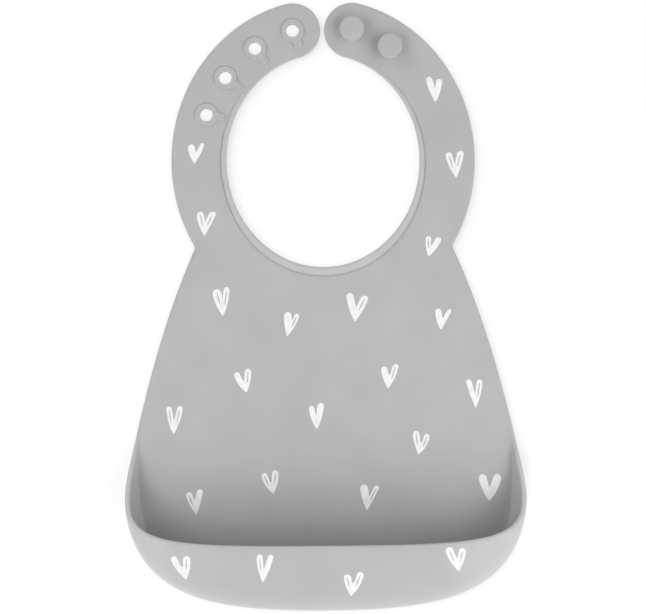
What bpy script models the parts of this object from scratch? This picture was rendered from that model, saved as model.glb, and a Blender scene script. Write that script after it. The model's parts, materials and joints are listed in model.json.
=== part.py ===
# Silicone baby bib with a catch pocket, lying on its back.
# X runs across the bib, Y runs up towards the strap tips and Z points out of its front.
# Plan shapes are drawn from the centre of the neck opening. One empty then moves the whole
# bib so that the origin lies under the middle of its outline, on the surface it rests on.

import math

import bmesh
import bpy
from mathutils import Vector

# Sheet and clearances
SHEET_THICKNESS = 0.0022
EDGE_FLAT = 0.0001
SEAT_GAP = 0.0003

# Neck ring: an ellipse through the middle of the straps
RING_HALF_WIDTH = 0.0712
RING_HALF_HEIGHT = 0.0769
STRAP_WIDTH = 0.0318
TIP_GAP = 0.0022
STRAP_BEND_DROP = 0.0167
NOTCH_ANGLE = math.radians(-32.5)
NOTCH_REACH = 0.003

# Chest panel's side edges
PANEL_HALF_WIDTH = 0.1076
FOLD_DROP = 0.1547
SIDE_PULL = 0.035
SHOULDER_FLARE = 0.0159
HIP_FLARE = 0.0084

# Button holes, collars and studs
BUTTON_PITCH = 0.024
HOLE_COUNT = 4
STUD_COUNT = 2
HOLE_RADIUS = 0.0039
COLLAR_RADIUS = 0.0066
COLLAR_HEIGHT = 0.0008
TONGUE_LENGTH = 0.0107
TONGUE_WIDTH = 0.0053
POST_CLEARANCE = 0.0004
POST_PLAY = 0.0006
HEAD_RADIUS = 0.007
HEAD_HEIGHT = 0.0026
HEAD_EDGE = 0.0009
POST_FILLET = 0.0005

# Neck bead
BEAD_WIDTH_LOW = 0.0043
BEAD_WIDTH_SIDE = 0.0027
BEAD_WIDTH_END = 0.001
BEAD_HEIGHT = 0.0011
BEAD_INSET = 0.0008
BEAD_END_LEFT = math.radians(24)
BEAD_END_RIGHT = math.radians(42)

# Catch pocket
POCKET_DEPTH = 0.042
RIM_DROP = 0.2138
RIM_RADIUS = 0.0013
RIM_END_RADIUS = 0.0006
RIM_START = 0.004
WALL_ROOT = 0.003
ROOT_PULL = 0.055
ROOT_HALF_WIDTH = 0.1085
ROOT_CORNER = 0.072
ROOT_DROP = 0.242
BELLY_PULL = 0.0794
BELLY_HALF_WIDTH = 0.120
BELLY_CORNER = 0.1063
BELLY_DROP = 0.262
BELLY_DEPTH = 0.039
SIDE_DEPTH = 0.011
RIM_PULL = 0.0619
RIM_HALF_WIDTH = 0.1184
RIM_CORNER = 0.1168
RIM_SIDE_DEPTH = 0.021
RIM_CORNER_DEPTH = 0.0435

# Facets
ARC_STEPS = 12
RING_STEP = math.radians(5)
POCKET_COLUMNS = 22
POCKET_ROWS = 12
BEAD_SIDES = 7
TURN_STEPS = 32

SILICONE_GREY = 0.48
SILICONE_ROUGHNESS = 0.55

HALF = SHEET_THICKNESS / 2
WALL_SHORT = 2 * RIM_RADIUS + SEAT_GAP
POST_RADIUS = HOLE_RADIUS - POST_CLEARANCE
POST_HEIGHT = SHEET_THICKNESS + SEAT_GAP + COLLAR_HEIGHT + POST_PLAY


def silicone(name):
    finish = bpy.data.materials.new(name)
    finish.use_nodes = True
    shader = finish.node_tree.nodes["Principled BSDF"]
    shader.inputs["Base Color"].default_value = (SILICONE_GREY, SILICONE_GREY, SILICONE_GREY, 1)
    shader.inputs["Roughness"].default_value = SILICONE_ROUGHNESS
    shader.inputs["Metallic"].default_value = 0
    return finish


def add_pivot(name, place, parent=None):
    """An empty on a bend line, at a place given from the neck centre."""
    pivot = bpy.data.objects.new(name, None)
    bpy.context.collection.objects.link(pivot)
    pivot["place"] = place
    pivot.location = place
    if parent:
        pivot.parent = parent
        pivot.location = Vector(place) - Vector(parent["place"])
    return pivot


def add_piece(name, data, pivot, height=0.0):
    """A piece drawn from the neck centre, carried by the empty on its bend line."""
    piece = bpy.data.objects.new(name, data)
    bpy.context.collection.objects.link(piece)
    data.materials.append(silicone(name))
    piece.parent = pivot
    piece.location = Vector((0, 0, height)) - Vector(pivot["place"])
    return piece


def bezier(p0, p1, p2, p3, t):
    """Point on a cubic curve with end points p0, p3 and pull points p1, p2."""
    s = 1 - t
    weights = (s ** 3, 3 * s * s * t, 3 * s * t * t, t ** 3)
    return sum((Vector(p) * w for p, w in zip((p0, p1, p2, p3), weights)), Vector((0,) * len(p0)))


def ring_normal(angle):
    """Outward direction of the ring's middle line, square to it."""
    return Vector((math.cos(angle) / RING_HALF_WIDTH, math.sin(angle) / RING_HALF_HEIGHT)).normalized()


def ring_point(angle, offset=0.0):
    """Point at an offset outward from the ring's middle line."""
    middle = Vector((RING_HALF_WIDTH * math.cos(angle), RING_HALF_HEIGHT * math.sin(angle)))
    return middle + ring_normal(angle) * offset


def ring_arc(start, end, offset):
    steps = max(1, round(abs(end - start) / RING_STEP))
    return [ring_point(start + (end - start) * k / steps, offset) for k in range(steps + 1)]


def halve(measure, low, high):
    """Angle between low and high where a rising measure passes zero."""
    for _ in range(50):
        middle = (low + high) / 2
        if measure(middle) < 0:
            low = middle
        else:
            high = middle
    return (low + high) / 2


def angle_down_ring(start, length):
    """Ring angle at a length below a start angle, measured along the middle line."""
    step = math.radians(0.05)
    angle = start
    while length > 0:
        length -= (ring_point(angle) - ring_point(angle - step)).length
        angle -= step
    return angle


def cut_angle(offset, point, direction, low, high):
    """Ring angle where an edge of the strap passes a straight cut square to a direction."""
    return halve(lambda a: (ring_point(a, offset) - point).dot(direction), low, high)


def mirrored(points):
    return [Vector((-p.x, p.y)) for p in points]


def circle(centre, radius, start=0.0, turn=2 * math.pi, steps=2 * ARC_STEPS):
    points = []
    for k in range(steps):
        angle = start + turn * k / steps
        points.append(centre + radius * Vector((math.cos(angle), math.sin(angle))))
    return points


def sheet(name, pivot, outline, holes=(), bottom=0.0, thickness=SHEET_THICKNESS):
    """Flat sheet of silicone whose edges are rounded through its thickness."""
    curve = bpy.data.curves.new(name, "CURVE")
    curve.dimensions = "2D"
    curve.fill_mode = "BOTH"
    curve.bevel_depth = thickness / 2 - EDGE_FLAT
    curve.bevel_resolution = 1
    curve.extrude = EDGE_FLAT
    curve.offset = -curve.bevel_depth
    for loop in (outline, *holes):
        spline = curve.splines.new("POLY")
        spline.points.add(len(loop) - 1)
        for knot, point in zip(spline.points, loop):
            knot.co = (point.x, point.y, 0, 1)
        spline.use_cyclic_u = True
    return add_piece(name, curve, pivot, bottom + thickness / 2)


def loft(name, pivot, sections):
    """Closed solid through a row of like sections, capped at both ends."""
    form = bmesh.new()
    rings = [[form.verts.new(point) for point in section] for section in sections]
    for ring, following in zip(rings, rings[1:]):
        for k in range(len(ring)):
            nearby = (k + 1) % len(ring)
            form.faces.new((ring[k], ring[nearby], following[nearby], following[k]))
    form.faces.new(rings[0])
    form.faces.new(rings[-1])
    bmesh.ops.recalc_face_normals(form, faces=form.faces)
    mesh = bpy.data.meshes.new(name)
    form.to_mesh(mesh)
    form.free()
    return add_piece(name, mesh, pivot)


# Places along the straps, for the side at +X
TIP_ANGLE = math.acos((TIP_GAP + STRAP_WIDTH) / 2 / RING_HALF_WIDTH)
FLEX_ANGLE = angle_down_ring(TIP_ANGLE, 1.5 * BUTTON_PITCH)
BEND_POINT = Vector((0, -STRAP_BEND_DROP))
UP = Vector((0, 1))
FLEX_POINT = ring_point(FLEX_ANGLE)
FLEX_WAY = Vector((-ring_normal(FLEX_ANGLE).y, ring_normal(FLEX_ANGLE).x))
EDGE = STRAP_WIDTH / 2


def button_angle(index):
    return angle_down_ring(TIP_ANGLE, index * BUTTON_PITCH)


def bend_cut(offset, back):
    """Ring angle where an edge meets a cut set back below the strap's bend line."""
    return cut_angle(offset, BEND_POINT - UP * back, UP, -math.pi / 2, math.pi / 4)


def flex_cut(offset, back):
    """Ring angle where an edge meets a cut set back below the tip's bend line."""
    return cut_angle(offset, FLEX_POINT - FLEX_WAY * back, FLEX_WAY, 0, math.pi / 2)


def strap_outline():
    outer = ring_arc(bend_cut(EDGE, HALF), flex_cut(EDGE, HALF + SEAT_GAP), EDGE)
    inner = ring_arc(flex_cut(-EDGE, HALF + SEAT_GAP), bend_cut(-EDGE, HALF), -EDGE)
    return outer + inner


def tip_outline():
    outer = ring_arc(flex_cut(EDGE, HALF), TIP_ANGLE, EDGE)
    outward = ring_normal(TIP_ANGLE)
    start = math.atan2(outward.y, outward.x)
    end = circle(ring_point(TIP_ANGLE), EDGE, start, math.pi, ARC_STEPS)
    inner = ring_arc(TIP_ANGLE, flex_cut(-EDGE, HALF), -EDGE)
    return outer + end[1:] + inner


def panel_side():
    """Right-hand edge of the chest panel, from the strap's bend down to the fold."""
    notch = ring_point(NOTCH_ANGLE, EDGE)
    foot = Vector((PANEL_HALF_WIDTH, -FOLD_DROP + HALF * math.sqrt(2) + SEAT_GAP))
    pulls = notch + Vector((SHOULDER_FLARE, -SIDE_PULL)), foot + Vector((-HIP_FLARE, SIDE_PULL))
    reach = NOTCH_REACH / (foot - notch).length
    shoulder = ring_arc(bend_cut(EDGE, HALF + SEAT_GAP), NOTCH_ANGLE + NOTCH_REACH / RING_HALF_WIDTH, EDGE)
    side = []
    for k in range(ARC_STEPS + 1):
        side.append(bezier(notch, *pulls, foot, reach + (1 - reach) * k / ARC_STEPS))
    corner = []
    for k in range(1, 4):
        corner.append(bezier(shoulder[-1], notch, notch, side[0], k / 4))
    return shoulder + corner + side


def make_chest_panel(pivot):
    side = panel_side()
    neck = ring_arc(-math.pi / 2, bend_cut(-EDGE, HALF + SEAT_GAP), -EDGE)
    half = neck + side
    return sheet("chest_panel", pivot, half + mirrored(half)[:0:-1])


def collar_outline(centre, inward):
    """Round collar with a short tongue that points to the neck opening."""
    heading = math.atan2(inward.y, inward.x)
    opening = math.asin(TONGUE_WIDTH / 2 / COLLAR_RADIUS)
    ring = circle(centre, COLLAR_RADIUS, heading + opening, 2 * (math.pi - opening))
    tongue = centre + inward * (TONGUE_LENGTH - TONGUE_WIDTH / 2)
    end = circle(tongue, TONGUE_WIDTH / 2, heading - math.pi / 2, math.pi, ARC_STEPS // 2)
    last = tongue + Vector((-inward.y, inward.x)) * TONGUE_WIDTH / 2
    return ring + end + [last]


def make_holes(pivots):
    """Hole straps on the left, each with its own holes, and the collars round them."""
    centres = [Vector((-1, 1)) * ring_point(button_angle(k)) for k in range(HOLE_COUNT)]
    bores = [circle(centre, HOLE_RADIUS) for centre in centres]
    on_tip = [angle > FLEX_ANGLE for angle in map(button_angle, range(HOLE_COUNT))]
    tip_bores = [bore for bore, tip in zip(bores, on_tip) if tip]
    root_bores = [bore for bore, tip in zip(bores, on_tip) if not tip]
    sheet("hole_strap", pivots[0], mirrored(strap_outline()), root_bores)
    sheet("hole_strap_tip", pivots[1], mirrored(tip_outline()), tip_bores)
    for k, centre in enumerate(centres):
        outline = collar_outline(centre, -centre.normalized())
        base = SHEET_THICKNESS + SEAT_GAP
        sheet(f"hole_collar_{k + 1}", pivots[int(on_tip[k])], outline, [bores[k]], base, COLLAR_HEIGHT)


def stud_profile():
    """Outline of a mushroom stud, from its crown down to the foot of its post."""
    base = SHEET_THICKNESS + SEAT_GAP
    under = base + POST_HEIGHT
    top = under + HEAD_HEIGHT
    rounds = [
        (HEAD_RADIUS - HEAD_EDGE, top - HEAD_EDGE, HEAD_EDGE, 90, 0),
        (HEAD_RADIUS - HEAD_EDGE, under + HEAD_EDGE, HEAD_EDGE, 0, -90),
        (POST_RADIUS + POST_FILLET, under - POST_FILLET, POST_FILLET, 90, 180),
        (POST_RADIUS + POST_FILLET, base + POST_FILLET, POST_FILLET, 180, 270),
    ]
    points = [(0, top)]
    for x, z, radius, start, end in rounds:
        for k in range(4):
            angle = math.radians(start + (end - start) * k / 3)
            points.append((x + radius * math.cos(angle), z + radius * math.sin(angle)))
    return points + [(0, base)]


def make_stud(name, pivot, centre):
    profile = stud_profile()
    mesh = bpy.data.meshes.new(name)
    edges = [(k, k + 1) for k in range(len(profile) - 1)]
    mesh.from_pydata([(x, 0, z) for x, z in profile], edges, [])
    stud = add_piece(name, mesh, pivot)
    stud.location += Vector((*centre, 0))
    turn = stud.modifiers.new("turn", "SCREW")
    turn.steps = TURN_STEPS
    turn.render_steps = TURN_STEPS
    turn.use_merge_vertices = True
    turn.merge_threshold = 0.00001
    turn.use_smooth_shade = True
    return stud


def make_studs(pivots):
    sheet("stud_strap", pivots[0], strap_outline())
    sheet("stud_strap_tip", pivots[1], tip_outline())
    for k in range(STUD_COUNT):
        make_stud(f"stud_{k + 1}", pivots[1], ring_point(button_angle(k)))


def bead_section(angle, width, height):
    """Low half-round section standing on the sheet just outside the neck edge."""
    middle = -EDGE + BEAD_INSET + width / 2
    base = SHEET_THICKNESS + SEAT_GAP
    section = []
    for k in range(BEAD_SIDES):
        turn = math.pi * k / (BEAD_SIDES - 1)
        place = ring_point(angle, middle + width / 2 * math.cos(turn))
        section.append((*place, base + height * math.sin(turn)))
    return section


def make_neck_bead(pivot):
    """Bead round the bottom of the neck, wide in the middle and clear of both bends."""
    reach = HALF + SEAT_GAP + BEAD_HEIGHT + SEAT_GAP
    last = bend_cut(-EDGE, reach)
    first = -math.pi - last
    steps = round((last - first) / RING_STEP)
    sections = []
    for k in range(steps + 1):
        angle = first + (last - first) * k / steps
        swell = (BEAD_WIDTH_LOW - BEAD_WIDTH_SIDE) * math.sin(math.pi * k / steps)
        sections.append(bead_section(angle, BEAD_WIDTH_SIDE + swell, BEAD_HEIGHT))
    return loft("neck_bead", pivot, sections)


def make_side_bead(name, pivot, end, side):
    """Bead on a strap, dying away towards the strap's tip."""
    reach = HALF + SEAT_GAP + BEAD_HEIGHT + SEAT_GAP
    first = bend_cut(-EDGE, -reach)
    steps = round((end - first) / RING_STEP)
    sections = []
    for k in range(steps + 1):
        angle = first + (end - first) * k / steps
        share = 1 - (1 - BEAD_WIDTH_END / BEAD_WIDTH_SIDE) * k / steps
        section = bead_section(angle, BEAD_WIDTH_SIDE * share, BEAD_HEIGHT * share)
        sections.append([(side * x, y, z) for x, y, z in section])
    return loft(name, pivot, sections)


def pocket_point(u, v):
    """Middle of the pocket's wall: u runs from the fold to the bottom, v from the back to the rim."""
    fold = -FOLD_DROP + HALF
    start = [PANEL_HALF_WIDTH - WALL_ROOT * (1 - k / 3) for k in range(4)]
    rails = (
        ((start[0], fold, HALF), (ROOT_HALF_WIDTH, fold - ROOT_PULL, HALF),
         (ROOT_CORNER, -ROOT_DROP, HALF), (0, -ROOT_DROP, HALF)),
        ((start[1], fold, HALF), (BELLY_HALF_WIDTH, fold - BELLY_PULL, HALF),
         (BELLY_CORNER, -BELLY_DROP, HALF), (0, -BELLY_DROP, HALF)),
        ((start[2], fold, HALF), (BELLY_HALF_WIDTH, fold - BELLY_PULL, SIDE_DEPTH),
         (BELLY_CORNER, -BELLY_DROP, BELLY_DEPTH), (0, -BELLY_DROP, BELLY_DEPTH)),
        ((start[3], fold, HALF), (RIM_HALF_WIDTH, fold - RIM_PULL, RIM_SIDE_DEPTH - WALL_SHORT),
         (RIM_CORNER, -RIM_DROP - WALL_SHORT, RIM_CORNER_DEPTH), (0, -RIM_DROP - WALL_SHORT, POCKET_DEPTH)),
    )
    return bezier(*(bezier(*rail, u) for rail in rails), v)


def column_point(column, v):
    """Wall point on a column counted from the middle, negative on the left."""
    point = pocket_point(1 - abs(column) / POCKET_COLUMNS, v)
    return Vector((math.copysign(point.x, column), point.y, point.z))


def make_catch_pocket(pivot):
    """Scoop lofted from the back of the pocket round to its rim, then given its wall."""
    form = bmesh.new()
    columns = []
    for column in range(-POCKET_COLUMNS, POCKET_COLUMNS + 1):
        points = [column_point(column, row / POCKET_ROWS) for row in range(POCKET_ROWS + 1)]
        columns.append([form.verts.new(point) for point in points])
    for left, right in zip(columns, columns[1:]):
        for row in range(POCKET_ROWS):
            form.faces.new((left[row], right[row], right[row + 1], left[row + 1]))
    form.faces.new([column[0] for column in columns])
    bmesh.ops.recalc_face_normals(form, faces=form.faces)
    mesh = bpy.data.meshes.new("catch_pocket")
    form.to_mesh(mesh)
    form.free()
    pocket = add_piece("catch_pocket", mesh, pivot)
    wall = pocket.modifiers.new("wall", "SOLIDIFY")
    wall.thickness = SHEET_THICKNESS
    wall.offset = 0
    wall.use_even_offset = True
    wall.use_quality_normals = True
    return pocket


def make_pocket_rim(pivot):
    """Round lip seated on the wall's edge, thinner where it runs out into the panel."""
    path = []
    for column in range(-POCKET_COLUMNS, POCKET_COLUMNS + 1):
        edge = column_point(column, 1)
        if edge.y < -FOLD_DROP - RIM_START:
            along = (column_point(column + 0.5, 1) - column_point(column - 0.5, 1)).normalized()
            way = edge - column_point(column, 1 - 1 / POCKET_ROWS)
            way = (way - along * way.dot(along)).normalized()
            full = math.sin(math.pi / 2 * min(1, (-FOLD_DROP - edge.y) / RIM_PULL))
            radius = RIM_END_RADIUS + (RIM_RADIUS - RIM_END_RADIUS) * full
            path.append((edge + way * (radius + SEAT_GAP), radius))
    curve = bpy.data.curves.new("pocket_rim", "CURVE")
    curve.dimensions = "3D"
    curve.bevel_depth = RIM_RADIUS
    curve.bevel_resolution = 2
    curve.use_fill_caps = True
    spline = curve.splines.new("POLY")
    spline.points.add(len(path) - 1)
    for knot, (place, radius) in zip(spline.points, path):
        knot.co = (*place, 1)
        knot.radius = radius / RIM_RADIUS
    return add_piece("pocket_rim", curve, pivot)


def bib_middle():
    """Height of the middle of the outline above the neck centre."""
    top = ring_point(TIP_ANGLE).y + EDGE
    bottom = min(pocket_point(1, row / POCKET_ROWS).y for row in range(POCKET_ROWS + 1)) - HALF
    return (top + bottom) / 2


def main():
    for item in list(bpy.data.objects):
        bpy.data.objects.remove(item, do_unlink=True)
    bib = add_pivot("bib", (0, 0, 0))
    fold = add_pivot("fold", (0, -FOLD_DROP, HALF), bib)
    straps = []
    for name, side in (("hole", -1), ("stud", 1)):
        bend = add_pivot(f"{name}_strap_bend", (side * RING_HALF_WIDTH, BEND_POINT.y, HALF), bib)
        flex = add_pivot(f"{name}_tip_flex", (side * FLEX_POINT.x, FLEX_POINT.y, HALF), bend)
        straps.append((bend, flex))
    make_chest_panel(bib)
    make_neck_bead(bib)
    make_catch_pocket(fold)
    make_pocket_rim(fold)
    make_holes(straps[0])
    make_side_bead("neck_bead_left", straps[0][0], BEAD_END_LEFT, -1)
    make_studs(straps[1])
    make_side_bead("neck_bead_right", straps[1][0], BEAD_END_RIGHT, 1)
    bib.location.y = -bib_middle()


main()
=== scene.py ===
# Looks of a moulded silicone bib: sheet, straps, catch pocket, button holes, studs and printed hearts.
# Shapes are worked out in millimetres from the centre of the neck opening and put into metres at the end.

import json
import math

import bmesh
import bpy
import numpy as np
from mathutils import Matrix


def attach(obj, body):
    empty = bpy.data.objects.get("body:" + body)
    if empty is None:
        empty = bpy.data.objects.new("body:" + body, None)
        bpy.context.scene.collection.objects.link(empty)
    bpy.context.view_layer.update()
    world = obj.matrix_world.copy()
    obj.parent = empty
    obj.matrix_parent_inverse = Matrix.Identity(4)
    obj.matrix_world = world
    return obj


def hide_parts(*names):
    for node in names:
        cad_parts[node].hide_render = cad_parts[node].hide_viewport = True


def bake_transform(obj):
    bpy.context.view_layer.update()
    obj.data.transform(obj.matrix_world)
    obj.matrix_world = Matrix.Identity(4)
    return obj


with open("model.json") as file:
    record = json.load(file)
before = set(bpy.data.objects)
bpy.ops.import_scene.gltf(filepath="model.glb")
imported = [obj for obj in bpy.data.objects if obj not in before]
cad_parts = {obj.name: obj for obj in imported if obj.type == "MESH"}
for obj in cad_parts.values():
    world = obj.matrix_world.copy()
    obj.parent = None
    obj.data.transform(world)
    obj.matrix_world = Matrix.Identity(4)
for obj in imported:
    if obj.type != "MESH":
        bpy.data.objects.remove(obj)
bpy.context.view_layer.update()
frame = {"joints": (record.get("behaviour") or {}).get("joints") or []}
hinges = {joint["name"]: np.array(joint["pos_m"]) * 1000 for joint in frame["joints"]}

# Plan of the bib, in millimetres. The ring is the ellipse through the middle of the straps.
plan = {
    "halfHeight": 76.9,      # ring, from its centre to the top of its middle line
    "strapWidth": 31.8,
    "tipGap": 2.2,           # between the two strap tips
    "bendDrop": 16.7,        # bend line of the straps below the neck centre
    "panelHalfWidth": 107.6,
    "notchAngle": -32.5,     # degrees round the ring, where strap and panel side meet
    "notchReach": 3.0,
    "sidePull": 35.0,
    "shoulderFlare": 15.9,
    "hipFlare": 8.4,
    "buttonPitch": 24.0,
    "strapSeam": -28.5,      # degrees round the ring, where the straps leave the panel piece
    "pocketSeam": 13.0,      # above the fold, where the pocket leaves the panel piece
    "bendHalf": 12.0,        # half length of sheet that bends at the straps' roots and at the fold
    "flexHalf": 8.0,         # and at the strap tips
}
half = hinges["pocket_fold"][2]
thickness = 2 * half
halfWidth = hinges["stud_strap_bend"][0]
neckY = hinges["stud_strap_bend"][1] + plan["bendDrop"]
foldY = hinges["pocket_fold"][1] - neckY + half
seamY = foldY + plan["pocketSeam"]
edge = plan["strapWidth"] / 2


def toWorld(points):
    # millimetres from the neck centre to metres in the frame
    return (np.asarray(points, float)[..., :3] + (0, neckY, 0)) / 1000


def ease(share):
    # smooth step from nought to one: 3 s^2 - 2 s^3
    share = np.clip(share, 0, 1)
    return share * share * (3 - 2 * share)


def unit(ways):
    # each way divided by its own length
    return ways / np.linalg.norm(ways, axis=-1, keepdims=True)


def bezier(points, t):
    # cubic curve: four points weighted by (1-t)^3, 3(1-t)^2 t, 3(1-t) t^2 and t^3
    t = np.asarray(t, float)[..., None]
    s = 1 - t
    return s**3 * points[0] + 3 * s * s * t * points[1] + 3 * s * t * t * points[2] + t**3 * points[3]


def ringNormal(angle):
    # square to the ellipse: cosine over half width and sine over half height, made one long
    return unit(np.stack([np.cos(angle) / halfWidth, np.sin(angle) / plan["halfHeight"]], -1))


def ringPoint(angle, offset):
    # ellipse point moved out along its normal
    middle = np.stack([halfWidth * np.cos(angle), plan["halfHeight"] * np.sin(angle)], -1)
    return middle + ringNormal(angle) * offset


tipAngle = math.acos((plan["tipGap"] + plan["strapWidth"]) / 2 / halfWidth)
angleTable = np.linspace(tipAngle, tipAngle - 2.4, 6000)
lengthSteps = np.linalg.norm(np.diff(ringPoint(angleTable, 0), axis=0), axis=1)
lengthTable = np.concatenate([[0], np.cumsum(lengthSteps)])


def angleBelowTip(length):
    # ring angle at a length along the ring from the button at the strap's tip
    return np.interp(length, lengthTable, angleTable)


# Meshes

weldDistance = 2e-6         # metres
noLength = 1e-6


def loopFaces(rows, columns, keep=None, closed=True):
    # quads between neighbouring loops of a grid whose rows are loops of points
    across = np.arange(columns if closed else columns - 1)
    row, column = np.meshgrid(np.arange(rows - 1), across, indexing="ij")
    after = (column + 1) % columns
    quads = np.stack([row * columns + column, row * columns + after,
                      (row + 1) * columns + after, (row + 1) * columns + column], -1)
    if keep is not None:
        quads = quads[keep]
    return quads.reshape(-1, 4)


def addPiece(name, blocks, finish, caps=(), sharp=40):
    # blocks are (points, quads), caps are single faces; doubles are welded and faces turned outwards.
    # A fourth number of a point is its painted tone: below nought painted shade, as in a crease or down a
    # hole, and above it painted highlight
    points, faces, start = [], [], 0
    for block, quads in blocks:
        block = np.asarray(block, float).reshape(-1, block.shape[-1])
        points.append(np.pad(block, ((0, 0), (0, 4 - block.shape[1]))))
        faces += (quads + start).tolist()
        start += len(block)
    faces += [list(cap) for cap in caps]
    points = np.concatenate(points)
    mesh = bpy.data.meshes.new(name)
    mesh.from_pydata(toWorld(points).tolist(), [], faces)
    tone = mesh.attributes.new("tone", "FLOAT", "POINT")
    tone.data.foreach_set("value", points[:, 3].astype(np.float32))
    form = bmesh.new()
    form.from_mesh(mesh)
    bmesh.ops.remove_doubles(form, verts=form.verts, dist=weldDistance)
    bmesh.ops.dissolve_degenerate(form, edges=form.edges, dist=noLength)
    bmesh.ops.delete(form, geom=[item for item in form.edges if not item.link_faces], context="EDGES")
    bmesh.ops.recalc_face_normals(form, faces=form.faces)
    form.to_mesh(mesh)
    openEdges = sum(not item.is_manifold for item in form.edges)
    form.free()
    mesh.shade_smooth()
    mesh.set_sharp_from_angle(angle=math.radians(sharp))
    mesh.materials.append(finish)
    piece = bpy.data.objects.new(name, mesh)
    bpy.context.scene.collection.objects.link(piece)
    print("piece", name, "faces", len(mesh.polygons), "open edges", openEdges)
    return piece


def mirrored(points):
    # x changes sign, so that the right half gives the left
    return points * np.array([-1] + [1] * (points.shape[-1] - 1))


def withLevels(flat, levels):
    # plan points with what the last axis of levels holds: height, or height and tone
    return np.concatenate([flat, np.broadcast_to(levels, (*flat.shape[:2], levels.shape[-1]))], -1)


# Materials

def linear(colour):
    # sRGB hex to linear light
    parts = np.array([int(colour[k:k + 2], 16) for k in (1, 3, 5)]) / 255
    parts = np.where(parts <= 0.04045, parts / 12.92, ((parts + 0.055) / 1.055) ** 2.4)
    return (*parts, 1)


def addNode(tree, kind, settings=(), inputs=(), links=()):
    # one node with its properties, socket values and incoming links
    node = tree.nodes.new(kind)
    for key, value in dict(settings).items():
        setattr(node, key, value)
    for key, value in dict(inputs).items():
        node.inputs[key].default_value = value
    for key, source in dict(links).items():
        tree.links.new(source, node.inputs[key])
    return node


silicone = {
    "light": "#BBBBBB",
    "dark": "#B6B6B6",
    "bloom": 0.8,           # dusty sheen that lightens it where it is seen along its surface
    "bloomRoughness": 0.45,
    "ior": 1.43,
    "paintedLightDepth": 0.6,       # share of the colour that a tone of one adds as painted highlight or takes away as painted shade
    "cloudSize": 28.0,      # mm, soft clouds where the compound cured at different rates
    "cloudSpread": (0.3, 0.7),   # shares of the noise between which they turn from dark to light
    "grainSize": 1.6,       # mm, spark-eroded mould grain, drawn about ten times too coarse so that it shows
    "grainDepth": 0.012,    # mm
    "roughness": (0.5, 0.6),
}


def mouldedSilicone():
    # Satin moulded silicone: an even, powdery grey that turns paler where it is seen along its surface
    finish = bpy.data.materials.new("mouldedSatinSilicone")
    finish.use_nodes = True
    tree = finish.node_tree
    shader = tree.nodes["Principled BSDF"]
    shader.inputs["IOR"].default_value = silicone["ior"]
    shader.inputs["Sheen Weight"].default_value = silicone["bloom"]
    shader.inputs["Sheen Roughness"].default_value = silicone["bloomRoughness"]
    place = addNode(tree, "ShaderNodeTexCoord").outputs["Object"]
    cloud = addNode(tree, "ShaderNodeTexNoise", inputs={"Scale": 1000 / silicone["cloudSize"], "Detail": 3},
                    links={"Vector": place})
    tone = addNode(tree, "ShaderNodeValToRGB", links={"Fac": cloud.outputs["Fac"]})
    stops = zip(tone.color_ramp.elements, silicone["cloudSpread"], (silicone["dark"], silicone["light"]))
    for stop, position, colour in stops:
        stop.position = position
        stop.color = linear(colour)
    # the mesh's tone: painted shade in creases, down the button holes and at the pocket wall's foot, painted
    # highlight on the bead, the collars' edges and the pocket's lip and ends
    paintedLightTone = addNode(tree, "ShaderNodeAttribute", {"attribute_name": "tone"})
    depth = silicone["paintedLightDepth"]
    shade = addNode(tree, "ShaderNodeMapRange",
                    inputs={"From Min": -1, "From Max": 1, "To Min": 1 - depth, "To Max": 1 + depth},
                    links={"Value": paintedLightTone.outputs["Fac"]})
    shaded = addNode(tree, "ShaderNodeHueSaturation",
                     links={"Color": tone.outputs["Color"], "Value": shade.outputs["Result"]})
    tree.links.new(shaded.outputs["Color"], shader.inputs["Base Color"])
    low, high = silicone["roughness"]
    gloss = addNode(tree, "ShaderNodeMapRange", inputs={"To Min": low, "To Max": high},
                    links={"Value": cloud.outputs["Fac"]})
    tree.links.new(gloss.outputs["Result"], shader.inputs["Roughness"])
    grain = addNode(tree, "ShaderNodeTexNoise", inputs={"Scale": 1000 / silicone["grainSize"], "Detail": 2},
                    links={"Vector": place})
    bump = addNode(tree, "ShaderNodeBump", inputs={"Strength": 1, "Distance": silicone["grainDepth"] / 1000},
                   links={"Height": grain.outputs["Fac"]})
    tree.links.new(bump.outputs["Normal"], shader.inputs["Normal"])
    return finish


ink = {
    "thick": "#FAFAFA",
    "thin": "#EFEFEF",
    "streakSize": 3.0,      # mm, drag of the print
    "streakSpread": (0.35, 0.55),
    "roughness": 0.62,
    "ior": 1.43,
}


def printedInk():
    # Screen-printed silicone ink: matt white, a little thinner in streaks
    finish = bpy.data.materials.new("screenPrintedInk")
    finish.use_nodes = True
    tree = finish.node_tree
    shader = tree.nodes["Principled BSDF"]
    shader.inputs["IOR"].default_value = ink["ior"]
    shader.inputs["Roughness"].default_value = ink["roughness"]
    place = addNode(tree, "ShaderNodeTexCoord").outputs["Object"]
    streak = addNode(tree, "ShaderNodeTexNoise", inputs={"Scale": 1000 / ink["streakSize"], "Detail": 3},
                     links={"Vector": place})
    tone = addNode(tree, "ShaderNodeValToRGB", links={"Fac": streak.outputs["Fac"]})
    stops = zip(tone.color_ramp.elements, ink["streakSpread"], (ink["thin"], ink["thick"]))
    for stop, position, colour in stops:
        stop.position = position
        stop.color = linear(colour)
    tree.links.new(tone.outputs["Color"], shader.inputs["Base Color"])
    return finish


siliconeFinish = mouldedSilicone()
inkFinish = printedInk()

# Flat sheet: loops that run from the neck edge over the top to the outer edge and back underneath

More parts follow.
